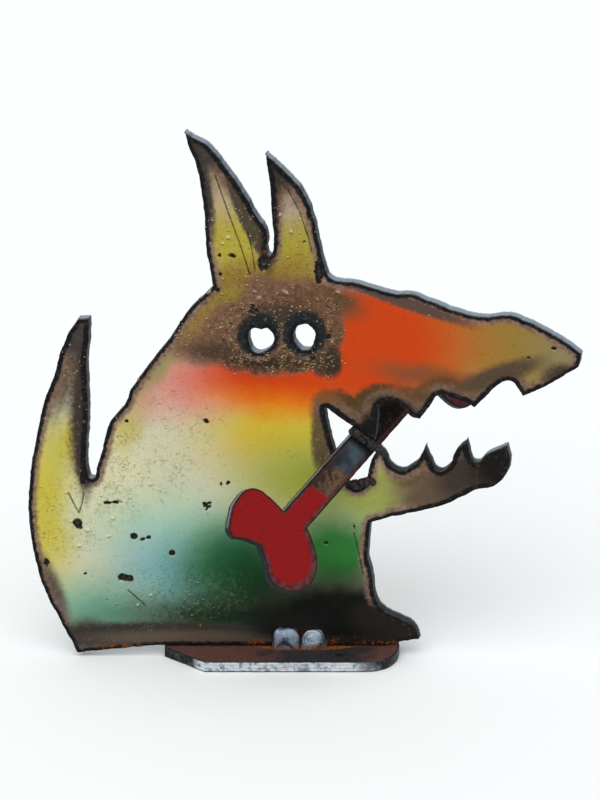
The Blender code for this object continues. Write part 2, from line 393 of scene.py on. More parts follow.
# %% One plate
def plate(name, node, right, up, steps, bite, seed, dress=None):
    """A finely meshed plate in place of a solid one. steps are its point spacings: rim, front and back."""
    solid = merged(node)
    facing = right.cross(up)
    drawn, front = rims(solid, right, up)
    drawn_back, back = rims(solid, -right, up)
    thickness = front + back
    low = np.vstack(drawn).min(0)
    low_back = np.vstack([loop * (-1, 1) for loop in drawn_back])
    lean = np.array([low_back[:, 0].min() - low[0], low_back[:, 1].min() - low[1]])
    solid.free()

    loops = [even_steps(loop, steps[0]) for loop in drawn]
    inwards = [inward(loop) for loop in loops]
    cuts = [bites(loop, bite, seed) for loop in loops]

    def band(share):
        """The rims at a share of the thickness, from the front."""
        moved = []
        for loop, into, cut in zip(loops, inwards, cuts):
            drag = DRAG * (1 + ripple(loop, DRAG_SIZE, seed + 9, share))
            moved.append(loop + into * (cut + drag + ROUNDING.get(share, 0))[:, None] + lean * share)
        return moved

    extra, shape = (np.zeros((0, 2)), None) if dress is None else dress
    faces, places, carried = [], [], []
    ends = []
    for share, step, points in ((BANDS[0], steps[1], extra), (BANDS[-1], steps[2], extra[:0])):
        edge_loops = band(share)
        flat, triangles, rim = face_mesh(edge_loops, step, points)
        edge = rim_distance(flat, edge_loops)
        drop = np.where(edge < MERGE, BANDS[0] * thickness, 0.0)
        numbers = unmarked(len(flat), share) | {"edge": edge}
        out = front - drop
        if share == BANDS[-1]:
            out = front - thickness + drop
            triangles = triangles[:, ::-1]
        elif shape:
            out = out + shape(flat, edge, numbers)
        start = sum(len(p) for p in places)
        faces += (triangles + start).tolist()
        ends.append([index + start for index in rim])
        places.append(np.column_stack([flat, out]))
        carried.append(numbers)

    rows = [ends[0]]
    for share in BANDS[1:-1]:
        wall = np.vstack(band(share))
        start = sum(len(p) for p in places)
        rows.append(list(range(start, start + len(wall))))
        places.append(np.column_stack([wall, np.full(len(wall), front - share * thickness)]))
        carried.append(unmarked(len(wall), share))
    rows.append(ends[1])
    for above, below in zip(rows, rows[1:]):
        faces += [(above[a], below[a], below[b], above[b]) for a, b in neighbours(loops)]

    print(name, len(loops), "rims,", len(faces), "faces, lean", lean.round(2), "mm")
    return placed(name, mesh_of(name, places, (right, up, facing), faces, carried))


# %% [markdown]
# ## Scars in the dog
#
# Before it was a dog this plate was scrap, and old cuts, blobs and scratches are still in it. Each scar is
# an oval with a depth and a turned-up lip, and each scratch a short line. They are real dents in the mesh,
# with rings of points round them, and their distance is stored so that the paint can find their edges
# exactly.

# %% Where the scars and scratches are
# Middle across and up, half length and half width, turn, depth: mm and degrees. A negative depth stands out
SCARS = (
    (-117.8, 84.1, 2.7, 3.4, 20, 1.0), (-100.6, 97.4, 2.0, 0.9, 0, 0.7), (-95.2, 97.7, 3.0, 0.9, 4, 0.7),
    (-92.4, 50.4, 3.0, 2.4, 0, 0.8), (-88.4, 49.8, 2.4, 2.1, 0, 0.8), (-85.6, 76.2, 2.2, 2.1, 0, 0.7),
    (-80.6, 74.4, 1.7, 1.0, 20, 0.6), (-77.4, 75.6, 1.6, 1.1, 30, 0.6), (-63.7, 65.8, 1.9, 2.0, 0, 0.8),
    (-44.4, 96.0, 1.2, 1.8, 35, 0.7), (-42.6, 94.2, 1.0, 2.2, -30, 0.7), (-42.0, 97.0, 1.5, 0.9, 30, 0.6),
    (-88.5, 147.9, 1.0, 1.0, 0, 0.4), (-43.3, 147.9, 1.7, 1.5, -30, 0.6), (-35.0, 109.3, 0.8, 1.0, 0, 0.4),
    (-30.7, 110.0, 0.9, 1.1, 0, 0.4), (25.5, 72.1, 1.2, 1.2, 0, 0.4), (41.6, 82.8, 0.7, 1.2, 20, 0.3),
    (-16.7, 217.1, 1.9, 1.7, 0, 0.7), (154.6, 192.0, 1.5, 1.1, -20, 0.6), (140.3, 186.5, 0.8, 0.8, 0, 0.3),
    (-27.7, 247.8, 1.9, 1.2, -25, 0.6), (-35.0, 248.0, 1.2, 1.1, 30, 0.5), (-34.4, 236.8, 1.0, 1.2, 0, 0.4),
    (-36.0, 227.6, 1.0, 0.9, 0, 0.4), (13.0, 256.0, 1.0, 0.8, 0, 0.4), (-12.6, 243.6, 0.8, 0.9, 0, 0.4),
    (47.8, 110.9, 1.9, 1.5, 20, -0.8), (-114.0, 53.0, 0.8, 0.7, 0, 0.3), (-102.0, 36.0, 0.7, 0.7, 0, 0.3),
    (-10.2, 242.9, 3.0, 4.6, 8, 0.8), (20.9, 237.4, 2.3, 7.0, 6, 0.8), (-114.3, 112.5, 1.5, 5.0, 0, 0.7),
    (-15.6, 214.6, 2.6, 2.2, 0, 0.7), (26.8, 199.2, 1.6, 1.6, 0, 0.5), (17.6, 186.2, 1.9, 1.7, 30, 0.6),
    (-41.8, 232.0, 1.0, 1.3, 0, 0.5), (-136.6, 60.0, 1.6, 2.6, 20, 0.6),
)
# Scratches: their corners, then their half width and depth
SCRATCHES = (
    (((-37.0, 295.3), (-29.9, 273.6), (-23.3, 254.7), (-17.7, 236.3)), 0.30, 0.25),
    (((-18.7, 261.8), (-16.4, 250.0), (-14.9, 239.2)), 0.26, 0.22),
    (((3.7, 286.5), (10.4, 273.6), (15.5, 257.0), (17.2, 249.9)), 0.26, 0.22),
    (((-123.1, 104.1), (-120.0, 97.0), (-117.1, 91.0)), 0.32, 0.25),
    (((-113.9, 104.1), (-115.2, 97.0), (-117.1, 91.0)), 0.32, 0.25),
    (((-89.6, 42.4), (-84.0, 37.0), (-79.8, 32.9)), 0.35, 0.3),
    (((41.7, 78.4), (44.6, 66.0), (47.0, 52.0)), 0.28, 0.2),
)
# Flakes that stand up: middle, half length and half width, turn, height
FLAKES = (
    (2.2, 225.8, 3.2, 1.1, -30, 1.0), (-12.6, 222.2, 1.9, 1.4, 12, 0.8), (-41.0, 226.0, 1.6, 1.0, 40, 0.7),
    (-29.8, 258.6, 1.3, 1.3, 0, 0.9), (-15.0, 226.0, 1.2, 0.9, 0, 0.6), (32.0, 226.0, 1.6, 0.9, -20, 0.6),
    (-33.0, 255.0, 1.1, 1.0, 0, 0.7), (5.6, 262.0, 1.0, 1.0, 0, 0.6), (-0.6, 272.0, 1.4, 1.0, 40, 0.7),
    (-76.5, 39.2, 1.3, 1.1, 0, 0.6), (-117.2, 70.6, 1.8, 1.2, 10, 0.7), (-100.1, 76.7, 1.9, 1.0, 20, 0.6),
    (-123.8, 104.0, 1.5, 1.1, 0, 0.6), (-103.9, 102.1, 1.3, 0.9, 30, 0.5), (-97.3, 87.8, 1.2, 1.3, 0, 0.6),
    (-112.6, 80.4, 1.8, 1.2, -30, 0.8), (-121.6, 86.0, 1.1, 1.0, 0, 0.6), (-84.0, 33.0, 1.0, 0.9, 0, 0.5),
)


# %% Shapes of the scars
RINGS = (0.0, 0.45, 0.8, 1.0, 1.3)
RING_POINTS = 11
LIP = 0.25
LINE_STEP = 0.9
# Heights in mm: the plate's slight waves, and its grain where spatter lies
WAVE = 0.08
GRAIN = 0.10
# Shares of an oval: where a pit's side ends, over how much it rises, and where its lip stands
PIT_END, PIT_RISE, LIP_AT = 1.08, 0.3, 1.25
# Where the sides of scratches and of flakes end, in half widths
SCRATCH_END, FLAKE_END = 1.5, 1.3


def oval_share(points, oval):
    """How far each point is from an oval's middle, 1 on its line."""
    angle = math.radians(oval[4])
    gone = points - oval[:2]
    along = (gone[:, 0] * math.cos(angle) + gone[:, 1] * math.sin(angle)) / oval[2]
    across = (gone[:, 1] * math.cos(angle) - gone[:, 0] * math.sin(angle)) / oval[3]
    return np.hypot(along, across)


def oval_points(oval):
    """Rings of points in and round an oval."""
    angle = math.radians(oval[4])
    made = []
    for ring in RINGS:
        for turn in np.arange(RING_POINTS if ring else 1) * math.tau / RING_POINTS:
            x, y = ring * oval[2] * math.cos(turn), ring * oval[3] * math.sin(turn)
            made.append((oval[0] + x * math.cos(angle) - y * math.sin(angle),
                         oval[1] + x * math.sin(angle) + y * math.cos(angle)))
    return made


def line_distance(points, corners):
    """The distance of each point from a line through some corners."""
    corners = np.array(corners)
    return np.min([from_lines(points, start, end) for start, end in zip(corners, corners[1:])], axis=0)


def line_points(corners, half):
    """Points along a scratch: on it, at its sides and just outside."""
    made = []
    for start, end in zip(np.array(corners), np.array(corners[1:])):
        run = end - start
        side = np.array((-run[1], run[0])) / np.linalg.norm(run)
        for share in np.arange(0, 1, LINE_STEP / np.linalg.norm(run)):
            made += [start + run * share + side * offset for offset in (-2 * half, -half, 0, half, 2 * half)]
    return made


# %% Where spatter stuck
# Middle across and up, reach across and up, and how thick it lies
SPATTER = (
    (-6, 202, 32, 22, 0.9), (-2, 184, 30, 7, 1.0), (-46, 206, 18, 20, 0.4), (-22, 246, 22, 30, 0.25),
    (8, 248, 20, 30, 0.25), (-112, 96, 26, 18, 0.26), (-122, 78, 20, 14, 0.2), (-76, 130, 26, 24, 0.12),
    (-52, 150, 20, 14, 0.1), (-118, 150, 8, 44, 0.2), (-66, 166, 14, 10, 0.12),
    (28, 202, 5.5, 24, 0.8), (-2, 224, 34, 8, 0.55), (-56, 38, 30, 14, 0.12), (-84, 44, 20, 14, 0.15),
)

# The heat of the eye holes kept spatter off, this far round them
EYES = ((-13, 199), (13, 200))
EYE_CLEAR = 9.5
EYE_FADE = 4
LEAST_BY_EYES = 0.05
# A patch ends at this share of its reach, and fades over this share
PATCH_END, PATCH_FADE = 1.4, 0.6
THINNEST = 0.001


def spatter_at(points):
    """How thickly spatter lies at each point, from 0 to 1."""
    thick = np.full(len(points), THINNEST)
    for x, y, wide, tall, most in SPATTER:
        near = np.hypot((points[:, 0] - x) / wide, (points[:, 1] - y) / tall)
        thick = np.maximum(thick, most * np.clip(PATCH_END - near, 0, PATCH_FADE) / PATCH_FADE)
    for x, y in EYES:
        away = np.hypot(points[:, 0] - x, points[:, 1] - y)
        thick *= np.clip((away - EYE_CLEAR) / EYE_FADE, LEAST_BY_EYES, 1)
    return thick


# %% The dog's own relief
def dog_shape(points, edge, numbers):
    """How far each point of the front stands out, in mm. The distances that it finds go into numbers."""
    height = WAVE * ripple(points, size=14, seed=3) + 0.4 * WAVE * ripple(points, size=4, seed=8)
    numbers["spatter"] = spatter_at(points)
    height += GRAIN * numbers["spatter"] * ripple(points, size=1.8, seed=21)
    for oval in SCARS:
        share = oval_share(points, oval)
        small = min(oval[2:4])
        numbers["scar"] = np.minimum(numbers["scar"], (share - 1) * small)
        height -= oval[5] * np.clip((PIT_END - share) / PIT_RISE, 0, 1)
        height += LIP * small / 2 * np.clip(1 - np.abs(share - LIP_AT) / PIT_RISE, 0, 1)
    for corners, half, depth in SCRATCHES:
        away = line_distance(points, corners)
        numbers["scratch"] = np.minimum(numbers["scratch"], away - half)
        height -= depth * np.clip(SCRATCH_END - away / half, 0, 1)
    for oval in FLAKES:
        raised = np.clip(FLAKE_END - oval_share(points, oval), 0, 1)
        numbers["flake"] = np.maximum(numbers["flake"], raised)
        height += oval[5] * raised
    return height * np.clip(edge / ROWS[0], 0, 1)


dog_extra = [spot for oval in SCARS + FLAKES for spot in oval_points(oval)]
dog_extra += [spot for corners, half, _ in SCRATCHES for spot in line_points(corners, half)]
dog = plate("dog", "dog_plate", Vector((1, 0, 0)), Vector((0, 0, 1)), (0.8, 1.2, 2.1), 0.8, 11,
            (np.array(dog_extra), dog_shape))

# %% [markdown]
# ## The bone and the foot
#
# Both are cut the same way. The bone lies in its own slanting plane, so its two directions are turned with
# it, and the foot lies flat.

# %% Bone
BONE_SLOPE = math.radians(38)
BONE_TURN = math.radians(40)
BONE_ALONG = Vector((math.cos(BONE_SLOPE) * math.cos(BONE_TURN), math.sin(BONE_TURN),
                     math.sin(BONE_SLOPE) * math.cos(BONE_TURN)))
BONE_UP = Vector((-math.sin(BONE_SLOPE), 0, math.cos(BONE_SLOPE)))

bone = plate("crimson_bone", "bone", BONE_ALONG, BONE_UP, (0.7, 1.1, 1.6), 0.45, 31)

# %% Foot
# The chisel mark on top of the foot: middle, half length, half width, turn and depth
DIMPLE = (34.0, -14.5, 2.6, 1.1, 12, 0.5)
DIMPLE_END, DIMPLE_RISE = 1.1, 0.4


def foot_shape(points, edge, numbers):
    """How far the top of the foot stands out, in mm."""
    share = oval_share(points, DIMPLE)
    numbers["scar"] = (share - 1) * DIMPLE[3]
    height = WAVE * ripple(points, size=11, seed=5)
    height -= DIMPLE[5] * np.clip((DIMPLE_END - share) / DIMPLE_RISE, 0, 1)
    return height * np.clip(edge / ROWS[0], 0, 1)


foot = plate("foot", "base_plate", Vector((1, 0, 0)), Vector((0, 1, 0)), (0.7, 1.3, 2.4), 0.6, 47,
             (np.array(oval_points(DIMPLE)), foot_shape))

# %% [markdown]
# ## Writing materials as sums
#
# A finish is mostly arithmetic on a few patterns: where is it burnt, how much rust, how rough. One small
# class stands for a socket and turns signs such as `+` and `*` into Math nodes. A second one holds a node
# tree and has a single method that adds any other node, for the materials here and for Geometry Nodes
# further down.

# %% Sockets that can be added and multiplied
def sum_of(operation, turned_round=False):
    """A method that adds a Math node for two amounts, or for the second and the first."""
    def with_other(self, other):
        first, second = (other, self) if turned_round else (self, other)
        return self.nodes.maths(operation, first, second)
    return with_other


class Amount:
    """A number, colour or vector that varies over a surface: the output of some node."""

    def __init__(self, nodes, output):
        self.nodes = nodes
        self.output = output

    def step(self, start, end):
        """0 up to start, 1 from end on, and smooth between. Start may be the larger."""
        return self.nodes.node("ShaderNodeMapRange", {"interpolation_type": "SMOOTHSTEP"},
                               {"Value": self, "From Min": start, "From Max": end})

    __add__ = __radd__ = sum_of("ADD")
    __mul__ = __rmul__ = sum_of("MULTIPLY")
    __sub__, __rsub__ = sum_of("SUBTRACT"), sum_of("SUBTRACT", True)
    __truediv__, __rtruediv__ = sum_of("DIVIDE"), sum_of("DIVIDE", True)
    __pow__, __rpow__ = sum_of("POWER"), sum_of("POWER", True)


# %% A tree and its nodes
class Nodes:
    """A node tree that is built by calls which return amounts."""

    def node(self, kind, settings=None, values=None, out=0):
        """Adds a node: its settings first, then the values or links of its sockets."""
        made = self.tree.nodes.new(kind)
        for name, value in (settings or {}).items():
            setattr(made, name, value)
        for name, value in (values or {}).items():
            if isinstance(value, Amount):
                self.tree.links.new(value.output, made.inputs[name])
            else:
                made.inputs[name].default_value = value
        return None if out is None else Amount(self, made.outputs[out])

    def maths(self, operation, first, second=0.0):
        return self.node("ShaderNodeMath", {"operation": operation}, {0: first, 1: second})

    def vectors(self, operation, first, second=(0, 0, 0), out=0):
        return self.node("ShaderNodeVectorMath", {"operation": operation}, {0: first, 1: second}, out)

    def scaled(self, vector, by):
        return self.node("ShaderNodeVectorMath", {"operation": "SCALE"}, {0: vector, "Scale": by})


# %% A finish
class Finish(Nodes):
    """A material. What it has worked out once, it remembers."""

    def __init__(self, name):
        self.material = bpy.data.materials.new(name)
        self.material.use_nodes = True
        self.tree = self.material.node_tree
        self.tree.nodes.clear()
        self.place = self.node("ShaderNodeTexCoord", out="Object")
        self.known = {}

    def once(self, key, make):
        """What make returns, made only the first time."""
        if key not in self.known:
            self.known[key] = make()
        return self.known[key]

    def carried(self, name):
        """A number that the mesh carries."""
        return self.once(name, lambda: self.node("ShaderNodeAttribute", {"attribute_name": name}, out="Fac"))

    def patches(self, size, detail=2.0, roughness=0.5, out=0):
        """Noise from 0 to 1 with patches of a size in mm."""
        values = {"Vector": self.place, "Scale": 1 / (size * MM), "Detail": detail, "Roughness": roughness}
        return self.once((size, detail, roughness, out),
                         lambda: self.node("ShaderNodeTexNoise", {}, values, out))

    def part(self, vector, axis):
        """One part of a place or direction: X, Y or Z."""
        return self.node("ShaderNodeSeparateXYZ", {}, {"Vector": vector}, out=axis)

    def upward(self):
        """How far the surface looks up, from -1 to 1."""
        return self.part(self.node("ShaderNodeNewGeometry", out="Normal"), "Z")

    def over(self, below, above, amount):
        """One colour laid over another. Either may be a screen colour."""
        below, above = [colour(shade) if isinstance(shade, str) else shade for shade in (below, above)]
        return self.node("ShaderNodeMix", {"data_type": "RGBA"}, {0: amount, 6: below, 7: above}, out=2)

    def turned(self, place, turn):
        """A place by two axes turned in the dog's plane."""
        cos, sin = math.cos(math.radians(turn)), math.sin(math.radians(turn))
        return self.once((place, turn), lambda: self.node("ShaderNodeCombineXYZ", {}, {
            "X": self.vectors("DOT_PRODUCT", place, (cos, 0, sin), "Value"),
            "Z": self.vectors("DOT_PRODUCT", place, (-sin, 0, cos), "Value")}))

    def cloud(self, place, name, middle, reach, turn, full):
        """How much of an oval cloud falls at each place, from 0 to 1. Middle and reach are in mm."""
        cos, sin = math.cos(math.radians(turn)), math.sin(math.radians(turn))
        across, up = middle[0] * cos + middle[1] * sin, middle[1] * cos - middle[0] * sin
        share = self.node("ShaderNodeVectorMath", {"operation": "MULTIPLY_ADD"}, {
            0: self.turned(place, turn), 1: (1 / (reach[0] * MM), 0, 1 / (reach[1] * MM)),
            2: (-across / reach[0], 0, -up / reach[1])})
        amount = self.vectors("LENGTH", share, out="Value").step(1, full)
        amount.output.node.label = name
        return amount

    def done(self, base, roughness, metallic, height, bump, **fixed):
        """Joins the sums to the shader. height is in mm. What is fixed goes on the shader's own sockets."""
        normal = self.node("ShaderNodeBump", {}, {"Height": height * MM, "Strength": bump, "Distance": 1.0})
        values = {"Base Color": base, "Roughness": roughness, "Metallic": metallic, "Normal": normal}
        values.update({name.replace("_", " "): value for name, value in fixed.items()})
        shader = self.node("ShaderNodeBsdfPrincipled", {}, values)
        self.node("ShaderNodeOutputMaterial", {}, {"Surface": shader}, out=None)
        print(self.material.name, "has", len(self.tree.nodes), "nodes")
        return self.material


class Coats:
    """Colours laid one over another on a finish."""

    def __init__(self, finish, shade):
        self.finish = finish
        self.shade = shade

    def lay(self, above, amount):
        self.shade = self.finish.over(self.shade, above, amount)


# %% [markdown]
# ## The cut edge
#
# All three plates share one look on their walls: bare steel, blue-grey and satin, with fine lines along it
# where the flame's speed changed, nearly black scale at the front and back arris, and some brown rust. The
# mouth's and the toe's walls are sooty. Walls that look down get a painted shade, and walls that look up a
# thin painted highlight. `edge` is 0 all over a wall, which tells the shader a wall from a face.

# %% Bare cut steel
PAINTED_GLINT_FADE = 0.07
LINE_HEIGHT = 0.12


def cut_steel(finish, pale="a9b8c6", deep="5b6772", painted_light_range=(0.35, 1.1), soot=0, line=(0.70, 0.90)):
    """A wall's colour, roughness and height. The wall gets a painted shade where it looks down, over the
    range painted_light_range of how far up it looks, and line is where a painted highlight glints.
    """
    depth = finish.carried("depth")
    lines = finish.node("ShaderNodeTexNoise", {"noise_dimensions": "1D"}, {
        "W": finish.patches(16) * 0.5 + depth * 2.6, "Scale": 3.2, "Detail": 3.0, "Roughness": 0.62})
    steel = Coats(finish, finish.over(deep, pale, lines.step(0.34, 0.60)))
    ends = (depth + finish.patches(5) * 0.10).step(0.17, 0.07)
    ends = ends + (depth + finish.patches(4) * 0.12).step(0.90, 1.0)
    steel.lay("211e1d", ends * 0.9)
    steel.lay("6b4630", finish.patches(7, 4.0, 0.7).step(0.56, 0.70) * 0.55)
    upward = finish.upward()
    # Painted shade and light: walls that look down are darkened, those that look up keep the pale steel
    painted_light_up = (upward + finish.patches(8, 3.0) * 0.4).step(*painted_light_range)
    steel = Coats(finish, finish.over("262a2f", steel.shade, painted_light_up))
    steel.lay("15191d", soot * 0.92)
    # A painted highlight: a thin pale line along the walls that look up
    painted_glint = depth.step(line[0], line[0] + PAINTED_GLINT_FADE) * depth.step(line[1], line[1] - PAINTED_GLINT_FADE)
    steel.lay("c3cfdb", painted_glint * lines.step(0.3, 0.5) * upward.step(0.1, 0.6) * 0.7)
    return steel.shade, 0.34 + finish.patches(2.2, 3.0) * 0.22 + ends * 0.2, lines * LINE_HEIGHT


def joined(finish, face, wall, bump, specular):
    """Joins the looks of faces and walls. Each is its colour, roughness, height and share of metal."""
    is_wall = finish.carried("edge").step(0.06, 0.0)
    is_face = 1 - is_wall
    base = finish.over(face[0], wall[0], is_wall)
    rough, height, metal = [here * is_face + there * is_wall for here, there in zip(face[1:], wall[1:])]
    return finish.done(base, rough, metal, height, bump, Specular_IOR_Level=specular)


# %% [markdown]
# ## Spraying the dog
#
# The maker sprayed soft clouds of paint over each other: mint and yellow on the body, a green shadow, a
# pink and red band, an orange snout and brown round the eyes. Each cloud here is one pass too: an oval
# whose strength falls off smoothly, laid over what is there. The place is shaken by a little noise first,
# so no cloud is a perfect oval.

# %% The clouds of paint
PRIMER = "c6c4a4"
# Name, colour, middle across and up, reach along and across, turn in degrees, and the share that is at
# full strength
CLOUDS = (
    ("rump_yellow", "bfb244", (-136, 98), (27, 82), 0, 0.2),
    ("tail_grey", "857e72", (-122, 182), (30, 46), 0, 0.2),
    ("tail_yellow", "b9ae4e", (-121, 126), (17, 32), 0, 0.4),
    ("back_tan", "a88f52", (-66, 190), (90, 20), 60, 0.1),
    ("back_yellow", "b8ad55", (-93, 132), (13, 36), -20, 0.1),
    ("rump_cream", "d2cca6", (-98, 104), (36, 44), 0, 0.3),
    ("pale_green", "a4c2a8", (-56, 78), (86, 42), -10, 0.1),
    ("mint_blue", "78a6aa", (-60, 50), (66, 46), -20, 0.1),
    ("heel_green", "6e9e86", (-106, 28), (62, 38), 0, 0.1),
    ("leaf_green", "357549", (-28, 62), (58, 46), 20, 0.1),
    ("deep_green", "123f1f", (-17, 50), (62, 45), 10, 0.1),
    ("centre_yellow", "c6ab36", (2, 146), (77, 50), 0, 0.2),
    ("olive_green", "a0a643", (18, 112), (68, 40), 0, 0.1),
    ("right_green", "2c6f31", (31, 66), (48, 42), 0, 0.2),
    ("chest_olive", "85964a", (52, 100), (26, 20), 0, 0.1),
    ("jaw_olive", "93974c", (60, 106), (36, 24), 10, 0.2),
    ("jaw_tan", "6e5f46", (96, 110), (44, 34), 10, 0.45),
    ("jaw_end", "211d1b", (120, 124), (42, 30), 0, 0.3),
    ("shade_green", "17301f", (-36, 26), (104, 22), 0, 0.1),
    ("near_black", "0d0f0c", (34, 24), (92, 45), 0, 0.3),
    ("pink", "cf8a82", (-50, 170), (58, 32), 10, 0.1),
    ("orange_band", "d47010", (2, 167), (78, 25), 0, 0.2),
    ("red_band", "c23a0c", (-2, 178), (76, 22), 0, 0.2),
    ("shoulder", "94875a", (-72, 182), (38, 12), 50, 0.3),
    ("snout_tan", "8e7233", (128, 196), (110, 66), -10, 0.2),
    ("snout_end", "857752", (162, 190), (34, 30), 0, 0.1),
    ("snout_orange", "ad6125", (84, 192), (50, 56), 0, 0.2),
    ("snout_red", "c03f0e", (48, 196), (64, 62), -10, 0.4),
    ("snout_under", "84492a", (84, 175), (48, 11), -10, 0.2),
    ("ear_olive", "ab9c3b", (-26, 256), (38, 54), 20, 0.2),
    ("ear_tan", "b09a7a", (-37, 298), (26, 40), 20, 0.3),
    ("front_ear_olive", "a19236", (8, 256), (32, 50), 10, 0.2),
    ("front_ear_tan", "ac9684", (4, 290), (20, 34), 0, 0.3),
    ("brow_olive", "8a6e2a", (-20, 232), (72, 20), 10, 0.2),
    ("brow_right", "5f432c", (26, 222), (30, 15), -20, 0.3),
    ("cheek_brown", "775843", (-42, 205), (40, 27), 10, 0.5),
    ("face_brown", "735440", (-6, 206), (46, 34), 0, 0.75),
    ("face_right", "6a4a36", (10, 203), (26.5, 27), 0, 0.88),
    ("face_corner", "4f392c", (25, 185), (11, 12), 0, 0.7),
    ("face_dark", "4a372b", (-38, 190), (26, 11), 0, 0.1),
    ("under_eyes", "3a291d", (-8, 184), (38, 9), 0, 0.2),
    ("cheek_gold", "8d7038", (-48, 211), (26, 9), 50, 0.2),
    ("brow_gold", "8a742e", (-31, 225), (20, 9), 30, 0.2),
)
# Places where the heat went deeper in from the rim
HOT = (
    ("round_mouth", (92, 160), (104, 40), -10), ("fang", (40, 150), (34, 34), 0),
    ("jaw", (100, 112), (60, 30), 10), ("ears", (-12, 300), (44, 44), 0), ("tail", (-116, 160), (24, 70), 0),
)
# Scorched places, laid over the burnt rim
SCORCHES = (
    ("brow_shade", "3c3129", (0, 211), (28, 12), 0, 0.2),
    ("rear_halo", "1c2223", (-13, 200), (14, 15), 0, 0.8),
    ("front_halo", "1c2324", (13, 201), (14, 15.5), 0, 0.8),
    ("ear_tip", "3b332e", (-48, 318), (20, 30), 20, 0.5),
    ("ear_side", "483e33", (-19, 276), (8, 38), 20, 0.75),
    ("front_ear_left", "3a2e28", (-7, 270), (7, 40), 0, 0.6),
    ("front_ear_tip", "342e29", (-2, 304), (16, 24), 0, 0.5),
    ("tail_tip", "3b3734", (-114, 204), (16, 30), 0, 0.4),
    ("tail_side", "39322e", (-113, 146), (8, 56), 0, 0.6),
    ("ear_left", "38332f", (-43, 286), (5.5, 34), 10, 0.4),
    ("gap_left", "5c4b34", (22, 137), (7, 26), 0, 0.5),
    ("jaw_brown", "5a4a3b", (88, 104), (22, 15), 20, 0.3),
    ("jaw_dark", "39302a", (108, 114), (28, 20), 20, 0.4),
    ("jaw_black", "171514", (132, 124), (34, 24), 20, 0.4),
    ("snout_low", "4f4130", (124, 176), (36, 9), 20, 0.4),
    ("snout_tip", "40362c", (159, 176), (16, 10), 0, 0.3),
    ("mouth_smoke", "57432a", (78, 164), (15, 7), -20, 0.2),
    ("gap_smoke", "784a28", (26, 162), (12, 6), 0, 0.1),
    ("face_smudge", "35291f", (29, 183), (7, 11), 0, 0.4),
    ("mouth_top", "1b1816", (65, 155.5), (19, 9), -20, 0.4),
    ("fang_black", "171514", (53, 142), (12, 15), 0, 0.5),
    ("jaw_root", "1d1b19", (64, 128), (8, 12), 30, 0.4),
    ("snout_top", "54423a", (70, 219.5), (52, 4.6), -20, 0.5),
    ("heel_edge", "57463f", (-132, 44), (7, 36), 20, 0.1),
    ("heel_corner", "463b33", (-114, 14), (18, 16), 0, 0.3),
    ("bottom_dark", "35302a", (-70, 14), (86, 10.5), 0, 0.6),
    ("bottom_band", "57493f", (-62, 12), (76, 7), 0, 0.3),
    ("belly_black", "171614", (4, 19), (32, 14), 0, 0.3),
    ("bottom_black", "1c1815", (40, 9), (50, 6), 0, 0.5),
    ("toe_black", "201d19", (62, 20), (30, 18), -20, 0.5),
    ("weld_heat", "2e1d13", (10, 12), (22, 9), 0, 0.3),
)
# Where the bottom edge rusts
RUSTED = (
    ("heel_rust", (-97, 6.6), (20, 2.8), 0), ("left_of_welds", (-15, 9.2), (10, 2.4), 0),
    ("right_of_welds", (30, 9.4), (7.5, 3), 0), ("toe_rust", (56, 8.6), (17, 2.6), 0),
    ("ear_rust", (-7.6, 249.8), (4, 3.4), 0),
)
# Where smoke blackened the cut itself
MOUTH_SOOT = ("mouth_soot", (66, 140), (57, 42), 0, 0.85)
TOE_SOOT = ("toe_soot", (70, 24), (24, 50), 0, 0.5)
# Where the sprayed coat flakes
CRUSTED = ("crusted", (-82, 126), (60, 56), 30, 0.3)
# Where yellow-green flecks show in the green
FLECKED = ("flecked", (-52, 38), (50, 24), 0, 0.2)
# Where the coats of green and blue are grainy
MISTED = ("misted", (-66, 44), (62, 44), 0, 0.2)


# %% A place that noise has moved
def shaken(finish, size, by):
    """The place on the object, moved about by noise of a size in mm."""
    centred = finish.vectors("SUBTRACT", finish.patches(size, 3.0, 0.6, out="Color"), (0.5, 0.5, 0.5))
    return finish.vectors("ADD", finish.place, finish.scaled(centred, by * MM))


# %% Sprayed coats
# Patterns that come back in several coats: size in mm, detail and roughness
MOTTLE = (2.6, 4.0, 0.65)
SPECK = (1.3, 5.0, 0.75)
GRIT = (2.4, 4.0, 0.78)


def sprayed(finish, paint, place):
    """The clouds, grimy all over, with flecks in the green and grain in the blue."""
    for name, shade, *oval in CLOUDS:
        paint.lay(shade, finish.cloud(place, name, *oval))
    mottle, speck = finish.patches(*MOTTLE), finish.patches(*SPECK)
    paint.lay("3d3526", mottle.step(0.58, 0.80) * 0.4)
    green = finish.patches(2.5, 5.0, 0.85)
    flecked = finish.cloud(place, *FLECKED)
    paint.lay("7f9a45", green.step(0.54, 0.66) * flecked * 0.55)
    paint.lay("10281b", green.step(0.46, 0.36) * flecked * 0.6)
    misted = finish.cloud(place, *MISTED)
    paint.lay("a3b5a6", speck.step(0.53, 0.68) * misted * 0.18)
    paint.lay("16241e", speck.step(0.47, 0.32) * misted * 0.45)


